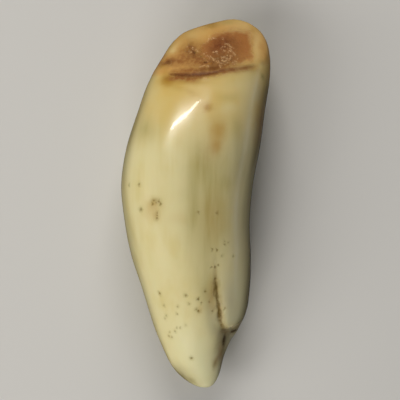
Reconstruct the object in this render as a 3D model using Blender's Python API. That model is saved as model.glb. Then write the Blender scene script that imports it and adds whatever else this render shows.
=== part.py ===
"""A polished walrus tusk, 100 mm long, lying on its flattest side.

The tusk is one piece of ivory. It lies along Y with its rounded tip at -Y and its worn end at +Y, and its bend
lies in the plane of the table. The origin is on the table, under the middle of its bounding box.

A UV sphere gives the skin. It is split finer where the worn end, the groove and the ledge need it, and each of its
points is then moved to its place on the tusk by place_on_tusk(): the sphere's axis becomes the length of the tusk,
and its angle round that axis becomes the place round the section.
"""

import bmesh
import bpy
import numpy as np

MM = 0.001

LENGTH = 100 * MM
HALF_LENGTH = LENGTH / 2

# The outline seen from above: place along the length, left side, right side.
OUTLINE = np.array(
    [
        (-48.6, -1.7, 5.1),
        (-45.3, -5.6, 6.6),
        (-40.4, -8.4, 7.9),
        (-37.2, -9.8, 9.4),
        (-33.9, -11.1, 11.6),
        (-29.0, -12.7, 13.7),
        (-22.5, -14.7, 14.6),
        (-14.4, -17.3, 14.8),
        (-4.6, -19.2, 14.5),
        (5.2, -20.1, 15.4),
        (14.9, -18.8, 17.2),
        (24.7, -15.7, 18.5),
        (32.8, -12.8, 19.8),
        (39.3, -9.1, 20.0),
        (44.2, -5.7, 18.9),
        (46.4, -3.0, 17.6),
        (48.3, 2.0, 15.4),
        (49.5, 6.7, 12.9),
    ]
) * MM
TIP_X = 2.4 * MM
CROWN_X = 10.0 * MM

# The profile seen from the side: place along the length, underside, upper side before the worn end is cut.
PROFILE = np.array(
    [
        (-47.0, 4.6, 13.2),
        (-40.0, 1.9, 17.2),
        (-30.0, 0.2, 21.6),
        (-20.0, -0.4, 24.6),
        (-8.0, -0.4, 26.6),
        (6.0, -0.4, 27.8),
        (15.0, -0.4, 28.0),
        (22.0, -0.2, 27.6),
        (29.0, 0.4, 26.5),
        (36.0, 1.4, 24.6),
        (42.0, 2.9, 21.6),
        (48.0, 5.2, 15.2),
    ]
) * MM
TIP_Z = 8.8 * MM
CROWN_Z = 9.2 * MM

# The section is a superellipse: 2 is an ellipse, and more is squarer.
TIP_FULLNESS = 2.0
CROWN_FULLNESS = 2.35
FULLNESS_RISE = (-30 * MM, 20 * MM)
ROUND_END = 8 * MM

# The worn face slopes down from its near edge, where a crack runs: x and y of the edge, depth and half width of
# the crack. The crack is wide and deep at the left, and dies out at the right.
NEAR_EDGE = np.array(
    [
        (-16.0, 34.4, 0.0, 0.7),
        (-10.5, 33.9, 0.0, 0.7),
        (-8.1, 33.8, 0.2, 0.7),
        (-6.4, 33.8, 0.4, 0.8),
        (-2.8, 33.7, 0.5, 0.9),
        (-0.1, 33.9, 0.5, 0.85),
        (2.6, 34.2, 0.45, 0.8),
        (4.7, 34.6, 0.4, 0.75),
        (7.1, 35.1, 0.3, 0.7),
        (9.5, 35.6, 0.2, 0.65),
        (11.9, 36.0, 0.15, 0.6),
        (14.7, 36.5, 0.12, 0.6),
        (17.0, 36.8, 0.06, 0.5),
        (20.5, 37.0, 0.0, 0.5),
    ]
) * MM
FACE_MIDDLE_X = 5.0 * MM
FACE_SLOPE = 0.93
# The near edge is almost straight, so the face curves with the tusk's upper side, but less than it at the sides.
FACE_SIDE_DROP = 3.2 * MM
FACE_SIDE_BLEND = 3.0 * MM
NEAR_EDGE_BLEND = 0.5 * MM
SIDE_BLEND = 2.4 * MM
FAR_RIM_BLEND = 6.0 * MM
RIM_DEPTH = 13 * MM
RIM_SIDES = (7 * MM, 13 * MM)

# The softer core is worn hollow in the middle of the worn face.
CORE_X = 7.2 * MM
CORE_Y = 41.2 * MM
CORE_HALF_WIDTH = 8.8 * MM
CORE_HALF_LENGTH = 4.8 * MM
CORE_DEPTH = 0.6 * MM
CORE_SIDES = (0.45, 1.15)

# A short notch crosses the left rim of the worn face.
NOTCH = np.array([(-12.5, 36.6), (-8.6, 37.9), (-5.0, 38.7), (-2.0, 39.2)]) * MM
NOTCH_DEPTH = 0.45 * MM
NOTCH_WIDTH = 0.6 * MM

# The groove runs down beside the lobe, turns round the lobe's end and becomes the crevice under the lobe's ledge:
# x, y, depth, width on the side of the body and width on the side of the lobe.
LOBE_EDGE = np.array(
    [
        (4.8, -8.0, 0.0, 3.6, 3.4),
        (4.9, -12.5, 0.1, 3.6, 3.2),
        (5.1, -19.3, 0.4, 3.6, 2.8),
        (5.3, -23.3, 0.7, 3.5, 2.3),
        (5.7, -26.0, 0.9, 3.4, 1.9),
        (6.1, -28.7, 1.1, 3.3, 1.5),
        (6.6, -31.1, 1.25, 3.1, 1.15),
        (7.0, -32.7, 1.4, 2.9, 0.9),
        (7.8, -33.6, 1.5, 2.7, 0.75),
        (9.2, -33.9, 1.55, 2.5, 0.65),
        (10.6, -33.6, 1.5, 2.4, 0.6),
        (12.1, -32.8, 1.25, 2.4, 0.6),
        (14.0, -31.4, 0.9, 2.4, 0.6),
    ]
) * MM

# A shallower groove bounds the lobe on the underside, and a wide furrow runs along the back at the left.
BACK_GROOVE_X = 8.4 * MM
BACK_GROOVE_BOTTOM = (-38 * MM, -33 * MM)
BACK_GROOVE_TOP = (-24 * MM, -6 * MM)
BACK_GROOVE_DEPTH = 0.9 * MM
BACK_GROOVE_WIDTH = 1.9 * MM
FURROW_ANGLE = np.radians(-148)
FURROW_SPREAD = 0.2
FURROW_BOTTOM = (-34 * MM, -18 * MM)
FURROW_TOP = (22 * MM, 40 * MM)
FURROW_DEPTH = 0.55 * MM

# How far round the section the cuts of each side reach, as the sine of the angle above or below the middle: where a
# cut starts to fade in, and where it has its whole depth.
UPPER_CUTS = (-0.1, 0.4)
LOWER_CUTS = (0.0, 0.45)
FACE_CUTS = (0.0, 0.3)
FACE_START = (-0.6 * MM, 0.6 * MM)

SEGMENTS = 44
RINGS = 56
PATH_POINTS = 60
COARSE_EDGE = 10 * MM
MIDDLE_EDGE = 1.3 * MM
FINE_EDGE = 0.75 * MM
UPPER_SIDE_FROM = 9 * MM
SPLIT_BEFORE_EDGE = 1.3 * MM
SPLIT_BESIDE_GROOVE = 3.5 * MM
FINE_BESIDE_GROOVE = 1.4 * MM
GROOVE_FROM = 0.2 * MM
SPLIT_ROUNDS = 3
TINY = 1e-9


def through(knots, values, at):
    """The smooth curve through the values at the knots, read at the places in at."""
    slopes = np.gradient(values, knots)
    at = np.clip(at, knots[0], knots[-1])
    left = np.clip(np.searchsorted(knots, at) - 1, 0, len(knots) - 2)
    span = knots[left + 1] - knots[left]
    t = (at - knots[left]) / span
    start = (1 + 2 * t) * (1 - t) ** 2 * values[left] + t * (1 - t) ** 2 * span * slopes[left]
    end = t**2 * (3 - 2 * t) * values[left + 1] - t**2 * (1 - t) * span * slopes[left + 1]
    return start + end


def ramp(low, high, value):
    """0 below low, 1 above high, and smooth between."""
    t = np.clip((value - low) / (high - low), 0, 1)
    return t * t * (3 - 2 * t)


def bump(distance, width):
    """1 where the distance is 0, and almost nothing at twice the width."""
    return np.exp(-((distance / width) ** 2))


def soft_min(a, b, blend):
    """The lower of a and b, with the corner where they cross rounded."""
    near = np.maximum(blend - np.abs(a - b), 0) / blend
    return np.minimum(a, b) - near * near * blend / 4


def with_ends(column, first, last):
    """A column of a table of stations, with the value at the tip before it and the one at the crown after it."""
    return np.concatenate([[first], column, [last]])


def half_size(stations, low, high, y):
    """Half the distance between two columns. It is read as a square, which runs straight into a rounded end."""
    along = with_ends(stations[:, 0], -HALF_LENGTH, HALF_LENGTH)
    squares = with_ends(((high - low) / 2) ** 2, 0, 0)
    return np.sqrt(np.maximum(through(along, squares, y), 0))


def section(y):
    """The section at y: its middle in x and z, its half width and half depth, and how square it is."""
    along = with_ends(OUTLINE[:, 0], -HALF_LENGTH, HALF_LENGTH)
    middle_x = through(along, with_ends((OUTLINE[:, 1] + OUTLINE[:, 2]) / 2, TIP_X, CROWN_X), y)
    along = with_ends(PROFILE[:, 0], -HALF_LENGTH, HALF_LENGTH)
    middle_z = through(along, with_ends((PROFILE[:, 1] + PROFILE[:, 2]) / 2, TIP_Z, CROWN_Z), y)
    half_width = half_size(OUTLINE, OUTLINE[:, 1], OUTLINE[:, 2], y)
    half_depth = half_size(PROFILE, PROFILE[:, 1], PROFILE[:, 2], y)
    # A squarer section has no smooth pole, so both ends are elliptical.
    squareness = ramp(*FULLNESS_RISE, y) * ramp(0, ROUND_END, HALF_LENGTH - np.abs(y))
    fullness = TIP_FULLNESS + (CROWN_FULLNESS - TIP_FULLNESS) * squareness
    return middle_x, middle_z, half_width, half_depth, fullness


def upper_height(x, y):
    """The height of the upper side at x and y, before the worn end is cut."""
    middle_x, middle_z, half_width, half_depth, fullness = section(y)
    across = np.clip(np.abs(x - middle_x) / np.maximum(half_width, TINY), 0, 1)
    return middle_z + half_depth * (1 - across**fullness) ** (1 / fullness)


def near_edge(x):
    """Where the near edge of the worn face lies along the length, at x."""
    return through(NEAR_EDGE[:, 0], NEAR_EDGE[:, 1], x)


def smooth_path(points):
    """The smooth curve through the rows of a table, as many closely spaced rows."""
    steps = np.arange(len(points), dtype=float)
    at = np.linspace(0, steps[-1], PATH_POINTS)
    return np.stack([through(steps, column, at) for column in points.T], axis=1)


def nearest_on_path(path, x, y):
    """How far x and y lie from a path, positive on its left, and the path's other columns at the nearest place."""
    place = np.stack([x, y], axis=1)
    nearest = np.full(len(place), np.inf)
    side = np.ones(len(place))
    columns = np.zeros((len(place), path.shape[1] - 2))
    for start, end in zip(path[:-1], path[1:]):
        step = end[:2] - start[:2]
        share = np.clip((place - start[:2]) @ step / (step @ step), 0, 1)
        offset = place - start[:2] - share[:, None] * step
        distance = np.hypot(offset[:, 0], offset[:, 1])
        closer = distance < nearest
        nearest[closer] = distance[closer]
        side[closer] = np.sign(step[0] * offset[closer, 1] - step[1] * offset[closer, 0])
        columns[closer] = start[2:] + share[closer, None] * (end[2:] - start[2:])
    return nearest * side, columns


def worn_face(x, y):
    """The height of the worn face at x and y, and how far y lies beyond the face's near edge."""
    edge_y = near_edge(x)
    middle = np.full_like(x, FACE_MIDDLE_X)
    middle_height = upper_height(middle, near_edge(middle))
    drop = soft_min(middle_height - upper_height(x, edge_y), FACE_SIDE_DROP, FACE_SIDE_BLEND)
    beyond = y - edge_y
    return middle_height - drop - FACE_SLOPE * beyond, beyond


def cut_worn_end(x, y, z):
    """The height after the sloping worn face is cut, and how deep its crack, hollow core and notch are."""
    face, beyond = worn_face(x, y)
    blend = NEAR_EDGE_BLEND + (SIDE_BLEND - NEAR_EDGE_BLEND) * ramp(*RIM_SIDES, np.abs(x - FACE_MIDDLE_X))
    blend += (FAR_RIM_BLEND - blend) * ramp(0, RIM_DEPTH, beyond)
    cut = soft_min(z, face, blend)
    on_face = ramp(*FACE_START, z - face)

    crack_depth = through(NEAR_EDGE[:, 0], NEAR_EDGE[:, 2], x)
    crack_width = through(NEAR_EDGE[:, 0], NEAR_EDGE[:, 3], x)
    crack = np.maximum(crack_depth, 0) * bump(beyond, crack_width)

    from_core = np.hypot((x - CORE_X) / CORE_HALF_WIDTH, (y - CORE_Y) / CORE_HALF_LENGTH)
    core = CORE_DEPTH * (1 - ramp(*CORE_SIDES, from_core)) * on_face

    notch_y = through(NOTCH[:, 0], NOTCH[:, 1], x)
    along_notch = ramp(NOTCH[0, 0], NOTCH[1, 0], x) * (1 - ramp(NOTCH[1, 0], NOTCH[3, 0], x))
    notch = NOTCH_DEPTH * along_notch * bump(y - notch_y, NOTCH_WIDTH)
    return cut, crack + core + notch


def groove_and_ledge(x, y):
    """How deep the upper side is cut by the groove beside the lobe and by the crevice under the lobe's ledge."""
    aside, columns = nearest_on_path(smooth_path(LOBE_EDGE), x, y)
    depth, body_width, lobe_width = columns.T
    return np.maximum(depth, 0) * bump(aside, np.where(aside < 0, body_width, lobe_width))


def underside_grooves(x, y, angle):
    """How deep the underside is cut by the groove that bounds the lobe there, and by the long furrow."""
    along = ramp(*BACK_GROOVE_BOTTOM, y) * (1 - ramp(*BACK_GROOVE_TOP, y))
    groove = BACK_GROOVE_DEPTH * along * bump(x - BACK_GROOVE_X, BACK_GROOVE_WIDTH)
    along = ramp(*FURROW_BOTTOM, y) * (1 - ramp(*FURROW_TOP, y))
    return groove + FURROW_DEPTH * along * bump(angle - FURROW_ANGLE, FURROW_SPREAD)


def place_on_tusk(unit):
    """Moves points of the unit sphere to the skin of the tusk. The sphere's Z axis becomes the tusk's length."""
    y = HALF_LENGTH * unit[:, 2]
    angle = np.arctan2(-unit[:, 1], unit[:, 0])
    middle_x, middle_z, half_width, half_depth, fullness = section(y)
    across, up = np.cos(angle), np.sin(angle)
    x = middle_x + half_width * np.sign(across) * np.abs(across) ** (2 / fullness)
    z = middle_z + half_depth * np.sign(up) * np.abs(up) ** (2 / fullness)

    outward = np.stack([across * half_depth, up * half_width], axis=1)
    outward /= np.maximum(np.linalg.norm(outward, axis=1, keepdims=True), TINY)
    from_above = ramp(*UPPER_CUTS, up)
    from_below = ramp(*LOWER_CUTS, -up)
    depth = groove_and_ledge(x, y) * from_above + underside_grooves(x, y, angle) * from_below
    x = x - outward[:, 0] * depth
    z = z - outward[:, 1] * depth

    cut, sunk = cut_worn_end(x, y, z)
    z = cut - sunk * ramp(*FACE_CUTS, up)
    return np.stack([x, y, np.maximum(z, 0)], axis=1)


def wanted_edge(points):
    """The longest edge allowed at each place: short along the crack, the groove and the ledge."""
    x, y, z = points.T
    upper = z > UPPER_SIDE_FROM
    beyond = y - near_edge(x)
    aside, columns = nearest_on_path(smooth_path(LOBE_EDGE), x, y)
    near_groove = upper & (columns[:, 0] > GROOVE_FROM)
    crack = upper & (np.abs(beyond) < SPLIT_BEFORE_EDGE) & (x > NEAR_EDGE[1, 0])
    wanted = np.full(len(points), COARSE_EDGE)
    wanted[upper & (beyond > -SPLIT_BEFORE_EDGE)] = MIDDLE_EDGE
    wanted[near_groove & (np.abs(aside) < SPLIT_BESIDE_GROOVE)] = MIDDLE_EDGE
    wanted[crack | (near_groove & (np.abs(aside) < FINE_BESIDE_GROOVE))] = FINE_EDGE
    return wanted


def coordinates(mesh):
    return np.array([vertex.co for vertex in mesh.verts])


def split_where_needed(mesh):
    """Splits the edges that would be too long once the sphere is drawn out into the tusk."""
    for _ in range(SPLIT_ROUNDS):
        bmesh.ops.triangulate(mesh, faces=mesh.faces)
        mesh.verts.index_update()
        placed = place_on_tusk(coordinates(mesh))
        edges = list(mesh.edges)
        ends = placed[np.array([[vertex.index for vertex in edge.verts] for edge in edges])]
        lengths = np.linalg.norm(ends[:, 0] - ends[:, 1], axis=1)
        too_long = lengths > wanted_edge(ends.mean(axis=1))
        chosen = [edge for edge, long in zip(edges, too_long) if long]
        bmesh.ops.subdivide_edges(mesh, edges=chosen, cuts=1)
        for vertex in mesh.verts:
            vertex.co.normalize()
    bmesh.ops.triangulate(mesh, faces=mesh.faces)


def ivory():
    material = bpy.data.materials.new("ivory")
    material.use_nodes = True
    shader = material.node_tree.nodes["Principled BSDF"]
    shader.inputs["Base Color"].default_value = (0.63, 0.55, 0.31, 1)
    shader.inputs["Roughness"].default_value = 0.22
    shader.inputs["Metallic"].default_value = 0.0
    return material


def make_tusk(collection):
    skin = bmesh.new()
    bmesh.ops.create_uvsphere(skin, u_segments=SEGMENTS, v_segments=RINGS, radius=1)
    split_where_needed(skin)
    for vertex, place in zip(skin.verts, place_on_tusk(coordinates(skin))):
        vertex.co = place
    mesh = bpy.data.meshes.new("tusk")
    skin.to_mesh(mesh)
    skin.free()
    mesh.shade_smooth()
    mesh.materials.append(ivory())
    collection.objects.link(bpy.data.objects.new("tusk", mesh))


def main():
    for obj in list(bpy.data.objects):
        bpy.data.objects.remove(obj, do_unlink=True)
    collection = bpy.data.collections.new("walrus tusk")
    bpy.context.scene.collection.children.link(collection)
    make_tusk(collection)


main()
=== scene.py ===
"""The looks of a polished walrus tusk, laid out as a Blender add-on and run as a script.

The ivory skin is built again here, much finer, from the part's own sizes, and takes its relief and its
stains from the tables below. Places are in millimetres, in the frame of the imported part: the tusk lies along
Y with its tip at -Y, and +X is on the right when it is seen from above.
"""

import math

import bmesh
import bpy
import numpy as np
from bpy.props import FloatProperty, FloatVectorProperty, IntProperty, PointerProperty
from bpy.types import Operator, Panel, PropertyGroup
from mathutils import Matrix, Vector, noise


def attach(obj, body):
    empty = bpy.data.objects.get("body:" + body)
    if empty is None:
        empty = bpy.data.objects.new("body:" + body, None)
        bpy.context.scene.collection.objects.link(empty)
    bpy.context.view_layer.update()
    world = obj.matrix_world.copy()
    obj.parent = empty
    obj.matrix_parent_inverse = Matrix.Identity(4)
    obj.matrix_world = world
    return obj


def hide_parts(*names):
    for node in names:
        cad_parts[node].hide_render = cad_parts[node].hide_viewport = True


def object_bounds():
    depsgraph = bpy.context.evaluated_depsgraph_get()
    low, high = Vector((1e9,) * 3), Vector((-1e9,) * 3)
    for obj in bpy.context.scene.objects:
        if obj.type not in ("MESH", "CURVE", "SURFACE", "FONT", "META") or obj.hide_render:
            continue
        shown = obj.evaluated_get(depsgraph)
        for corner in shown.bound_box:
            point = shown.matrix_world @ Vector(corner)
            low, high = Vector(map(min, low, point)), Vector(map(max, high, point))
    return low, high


bl_info = {
    "name": "Walrus tusk",
    "version": (1, 0, 0),
    "blender": (4, 5, 0),
    "location": "3D Viewport > Sidebar > Walrus tusk",
    "description": "Builds a polished walrus tusk, and a plain studio round it",
    "category": "Add Mesh",
}

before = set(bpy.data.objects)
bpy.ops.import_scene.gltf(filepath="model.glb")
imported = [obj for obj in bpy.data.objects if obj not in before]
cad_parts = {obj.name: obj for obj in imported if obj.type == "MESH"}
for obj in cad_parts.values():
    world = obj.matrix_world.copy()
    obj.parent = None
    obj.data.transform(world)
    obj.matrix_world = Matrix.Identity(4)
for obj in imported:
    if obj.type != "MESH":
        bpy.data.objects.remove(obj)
CAD_LOW, CAD_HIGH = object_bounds()

MM = 0.001
HALF_LENGTH = (CAD_HIGH.y - CAD_LOW.y) / 2
MIDDLE_HEIGHT = (CAD_LOW.z + CAD_HIGH.z) / 2

# The camera looks straight down: its height over the floor, and the place that it is centred on.
CAMERA_HEIGHT = 0.76
VIEW_X = 1.1 * MM
VIEW_Y = 0.95 * MM

# The outline seen from above: y, left side, right side.
OUTLINE = np.array([
    (-48.6, -1.7, 5.1), (-45.3, -5.6, 6.6), (-40.4, -8.4, 7.9), (-37.2, -9.8, 9.4), (-33.9, -11.1, 11.6),
    (-29, -12.7, 13.7), (-22.5, -14.7, 14.6), (-14.4, -17.3, 14.8), (-4.6, -19.2, 14.5),
    (5.2, -20.1, 15.4), (14.9, -18.8, 17.2), (24.7, -15.7, 18.5), (32.8, -12.8, 19.8), (39.3, -9.1, 20),
    (44.2, -5.7, 18.9), (46.4, -3, 17.6), (48.3, 2, 15.4), (49.5, 6.7, 12.9),
]) * MM
TIP_X = 2.4 * MM
CROWN_X = 10.0 * MM

# The profile seen from the side: y, underside, upper side before the worn end is cut.
PROFILE = np.array([
    (-47, 4.6, 13.2), (-40, 1.9, 17.2), (-30, 0.2, 21.6), (-20, -0.4, 24.6), (-8, -0.4, 26.6),
    (6, -0.4, 27.8), (15, -0.4, 28), (22, -0.2, 27.6), (29, 0.4, 26.5), (36, 1.4, 24.6), (42, 2.9, 21.6),
    (48, 5.2, 15.2),
]) * MM
TIP_Z = 8.8 * MM
CROWN_Z = 9.2 * MM

# The section is a superellipse: 2 is an ellipse, and more is squarer.
TIP_FULLNESS = 2.0
CROWN_FULLNESS = 2.35
FULLNESS_RISE = (-30 * MM, 20 * MM)
ROUND_END = 8 * MM

# The near edge of the worn face and the crack along it: x, y, the crack's depth and half width.
NEAR_EDGE = np.array([
    (-16, 34.4, 0, 0.7), (-10.5, 33.9, 0, 0.7), (-8.1, 33.8, 0.2, 0.7), (-6.4, 33.8, 0.4, 0.8),
    (-2.8, 33.7, 0.5, 0.9), (-0.1, 33.9, 0.5, 0.85), (2.6, 34.2, 0.45, 0.8), (4.7, 34.6, 0.4, 0.75),
    (7.1, 35.1, 0.3, 0.7), (9.5, 35.6, 0.2, 0.65), (11.9, 36, 0.15, 0.6), (14.7, 36.5, 0.12, 0.6),
    (17, 36.8, 0.06, 0.5), (20.5, 37, 0, 0.5),
]) * MM
FACE_MIDDLE_X = 5.0 * MM
FACE_SLOPE = 0.93
FACE_SIDE_DROP = 3.2 * MM
FACE_SIDE_BLEND = 3.0 * MM
NEAR_EDGE_BLEND = 0.5 * MM
SIDE_BLEND = 2.4 * MM
FAR_RIM_BLEND = 6.0 * MM
RIM_DEPTH = 13 * MM
RIM_SIDES = (7 * MM, 13 * MM)

# The core is worn hollow in the middle of the worn face.
CORE_X = 7.2 * MM
CORE_Y = 41.2 * MM
CORE_HALF_WIDTH = 8.8 * MM
CORE_HALF_LENGTH = 4.8 * MM
CORE_DEPTH = 0.6 * MM
CORE_SIDES = (0.45, 1.15)
CORE_FADE = 0.6 * MM

# A short notch crosses the left rim of the worn face.
NOTCH = np.array([(-12.5, 36.6), (-8.6, 37.9), (-5, 38.7), (-2, 39.2)]) * MM
NOTCH_DEPTH = 0.45 * MM
NOTCH_WIDTH = 0.6 * MM

# The groove beside the lobe and the crevice under its ledge: x, y, depth, width on the body and the lobe.
LOBE_EDGE = np.array([
    (4.8, -8, 0, 3.6, 3.4), (4.9, -12.5, 0.1, 3.6, 3.2), (5.1, -19.3, 0.4, 3.6, 2.8),
    (5.3, -23.3, 0.7, 3.5, 2.3), (5.7, -26, 0.9, 3.4, 1.9), (6.1, -28.7, 1.1, 3.3, 1.5),
    (6.6, -31.1, 1.25, 3.1, 1.15), (7, -32.7, 1.4, 2.9, 0.9), (7.8, -33.6, 1.5, 2.7, 0.75),
    (9.2, -33.9, 1.55, 2.5, 0.65), (10.6, -33.6, 1.5, 2.4, 0.6), (12.1, -32.8, 1.25, 2.4, 0.6),
    (14, -31.4, 0.9, 2.4, 0.6),
]) * MM

# On the underside, a shallower groove bounds the lobe, and a wide furrow runs along the left.
BACK_GROOVE_X = 8.4 * MM
BACK_GROOVE_BOTTOM = (-38 * MM, -33 * MM)
BACK_GROOVE_TOP = (-24 * MM, -6 * MM)
BACK_GROOVE_DEPTH = 0.9 * MM
BACK_GROOVE_WIDTH = 1.9 * MM
FURROW_ANGLE = math.radians(-148)
FURROW_SPREAD = 0.2
FURROW_BOTTOM = (-34 * MM, -18 * MM)
FURROW_TOP = (22 * MM, 40 * MM)
FURROW_DEPTH = 0.55 * MM

# How far round the tusk the cuts reach, as sines of the angle: above, below and in the worn face.
ABOVE_CUTS = (-0.1, 0.4)
BELOW_CUTS = (0, 0.45)
FACE_CUTS = (0, 0.3)

# The mesh is fine this far before the worn face, in and beside a groove so deep, and round a pit, in radii.
SPLIT_ROUNDS = 3
FINE_BEFORE_FACE = 1.6 * MM
FINE_GROOVE_DEPTH = 0.2 * MM
FINE_GROOVE_SIDE = 1.1 * MM
FINE_ROUND_PIT = 1.8

PATH_POINTS = 60
CORE_PATH_POINTS = 80
TINY = 1e-9
UPPER_SIDE_FROM = 9 * MM

# Noises over the skin: strength, length of a lump across and along the tusk in millimetres, and a shift.
NOISES = {
    "stain x": (0.7 * MM, 3.5, 5, 31),
    "stain y": (0.7 * MM, 3.5, 5, 37),
    "stain edge x": (0.15 * MM, 0.8, 0.8, 33),
    "stain edge y": (0.15 * MM, 0.8, 0.8, 39),
    "line edge x": (0.12 * MM, 0.5, 0.5, 41),
    "line edge y": (0.16 * MM, 0.9, 0.5, 43),
    "core edge": (0.5 * MM, 1.8, 1.8, 0),
    "fine core edge": (0.25 * MM, 0.6, 0.6, 7),
    "stroke grains": (1, 0.32, 0.32, 5),
    "groove dirt": (0.5, 0.8, 1.6, 3),
    "groove width": (0.6, 0.9, 2.2, 8),
    "pit edge": (0.35, 0.45, 0.45, 51),
    "broad swell": (0.8, 9, 20, 0),
    "fine swell": (0.25, 3, 6, 13),
    "beads": (1, 0.9, 0.6, 17),
    "fine beads": (0.6, 0.35, 0.35, 23),
}

# The dark line at each row of LOBE_EDGE, painted shadow where it runs along the crevice under the ledge: its
# strength, and how far it lies from the bottom towards the lobe.
CREASE_DIRT_AND_SHADE = np.array([
    (0, 0.1), (0.05, 0.1), (0.3, 0.1), (1, 0), (0.6, 0.12), (0.9, 0.12), (0.65, -0.12), (0.6, -0.2),
    (0.4, -0.15), (0.25, 0), (0.35, 0), (0.45, 0), (0.2, 0),
]) * (1, MM)

# The dark line's patchiness and half width, and the half widths of the painted shade beside it.
GROOVE_DIRT_LEVEL = 0.9
GROOVE_LINE_WIDTH = 0.6 * MM
GROOVE_SHADE_WIDTHS = (1.0 * MM, 1.3 * MM)

# The tables from here on give places as the camera sees them, on the level of the tusk's middle.
# Dark lines of dirt, in the crack, the notch and the open fibres of the core: x, y, half width, strength.
DIRT_LINES = [
    [
        (-7.6, 34.9, 0.35, 0), (-6.4, 34.8, 0.5, 0.7), (-4.7, 34.65, 0.55, 0.85), (-2.8, 34.6, 0.6, 0.95),
        (-0.1, 34.7, 0.6, 0.9), (2.6, 34.9, 0.6, 1), (4.7, 35.2, 0.55, 0.85), (7.2, 35.85, 0.7, 0.55),
        (9.6, 36.15, 0.7, 0.55), (11.5, 36.3, 0.65, 0.45), (14, 36.6, 0.6, 0.4), (15.1, 36.9, 0.5, 0.3),
        (16.2, 36.9, 0.35, 0),
    ],
    [(-9.6, 37.7, 0.4, 0.1), (-8.2, 38, 0.5, 0.25), (-7.3, 38.2, 0.85, 0.6), (-6.4, 38.6, 0.5, 0.05)],
    [(-2.1, 43.2, 0.2, 0.3), (-1.7, 42.2, 0.25, 0.5), (-1.9, 41.2, 0.2, 0.4)],
    [(-1.2, 42.4, 0.2, 0.4), (-0.9, 41.4, 0.3, 0.6), (-0.5, 40.6, 0.35, 0.9), (-0.3, 40.1, 0.2, 0.4)],
    [(-2.8, 41, 0.25, 0.4), (-2, 40.9, 0.2, 0.2)], [(2.3, 38.1, 0.35, 0.9), (2.9, 38, 0.25, 0.7)],
    [(7.9, 41.8, 0.3, 0.3), (8.3, 42.6, 0.2, 0.3)], [(9.4, 38.8, 0.3, 0.6), (9.8, 39, 0.2, 0.3)],
    [(4.6, 38.2, 0.25, 0.5), (5.2, 37.5, 0.2, 0.3)],
    [(2.6, 36.3, 0.4, 0.2), (4.2, 36.4, 0.9, 0.7), (5.6, 36.5, 0.9, 0.75), (7, 36.8, 0.5, 0.3)],
]

# Darker lines: grime in the short crack under the lobe's ledge and in a scratch by the tip, and painted shadow
# at the end of the crevice under the ledge.
GRIME_AND_SHADOW_LINES = [
    [(7.8, -35.2, 0.3, 0.3), (7.6, -36.2, 0.45, 1), (7.4, -37.4, 0.4, 1), (7.35, -38.5, 0.25, 0.3)],
    # Painted shadow at the end of the crevice under the lobe's ledge.
    [(9, -34.9, 0.3, 0.2), (9.8, -34.5, 0.5, 1), (10.9, -34, 0.4, 0.8), (11.7, -33.4, 0.3, 0.2)],
    [(6, -41.2, 0.3, 0.15), (5.1, -43, 0.4, 0.35), (4.7, -44.8, 0.3, 0.1)],
]

# The reddish brown edge under the crack, the fuzzy brown over it, and the brown of the notch.
UMBER_LINES = [
    [
        (-6.8, 34.8, 0.8, 0.5), (-2.8, 34.8, 1.2, 1), (2.6, 35, 1.1, 1), (7.2, 35.8, 1.1, 1),
        (11, 36.2, 1, 0.8), (14, 36.6, 0.9, 0.6), (16.5, 37, 0.6, 0.2),
    ],
    [
        (-8.2, 33.8, 0.7, 0.3), (-6.4, 33.8, 0.9, 0.95), (-4, 33.8, 0.85, 1), (-0.6, 33.8, 1, 1),
        (1, 34.1, 0.8, 0.8), (2.8, 34.4, 0.6, 0.4),
    ],
    [
        (-6.5, 35.5, 0.6, 0.5), (-3, 35.9, 1, 0.9), (1.5, 36, 1.1, 0.9), (5, 36.6, 1.1, 0.9),
        (9, 37.4, 1, 0.8),
    ],
    [(9, 37, 0.7, 0.6), (12, 37, 0.5, 0.4), (15.5, 37.2, 0.6, 0.3)],
    [(-10.2, 37.6, 0.6, 0.5), (-8, 38.1, 0.9, 0.7), (-6, 38.7, 0.9, 0.4), (-3.5, 39.3, 0.9, 0.3)],
]
THINNEST_LINE = 0.1 * MM

# The edge of the brown core, and how far inside and outside it the colour fades.
CORE_EDGE = np.array([
    (2, 42.6), (3.4, 43.9), (5, 45.1), (7.4, 45.8), (10.7, 46.1), (14, 46.2), (14.5, 44.6), (14.6, 41.6),
    (15, 39.2), (12.6, 38.2), (9.4, 38), (6.1, 38), (3.4, 38.9), (2, 40.6), (2, 42.6),
]) * MM
CORE_EDGE_FADE = 0.9 * MM

# Raised beads and worms in the core, painted pale as glints, as short strokes through points.
STROKES = [
    [(7.9, 43.1), (8.6, 42.9), (9.1, 42.6), (9.4, 42.1), (9.5, 41.5)],
    [(6.9, 41.8), (7.1, 41.5), (7.5, 41.1)], [(4.7, 40.8), (5.2, 40.9), (5.8, 41)],
    [(3.2, 43.6), (3.5, 44.3), (3.7, 45)], [(4.2, 44.4), (4.8, 44.6), (5.3, 44.5)],
    [(3.5, 39.7), (4, 39.5), (4.7, 38.9)],
    [(7.1, 39.3), (7.7, 39.5), (8.4, 39.1), (8, 38.3), (7.1, 38.4), (7.1, 39.3)],
    [(8.9, 41.3), (9.5, 41), (10.2, 40.7)], [(9.2, 39.8), (9.2, 39.3), (9.1, 38.7)],
    [(10.2, 40.3), (10.6, 40)], [(6.5, 37.9), (6.9, 37.7)], [(6.4, 37.2), (6.6, 36.8)],
    [(9.9, 37.8), (10.4, 37.7)], [(7.2, 44.6), (7.3, 44.3)], [(-0.9, 42.1), (-0.8, 41.5)],
    [(0.1, 41.4), (0.5, 41)], [(1.2, 36.8), (2.6, 37.2), (3.6, 36.9)], [(2.2, 33.8), (2.9, 33.8)],
]
STROKE_WIDTH = 0.23 * MM
STROKE_GRAINS = (-0.35, 0.25)
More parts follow.
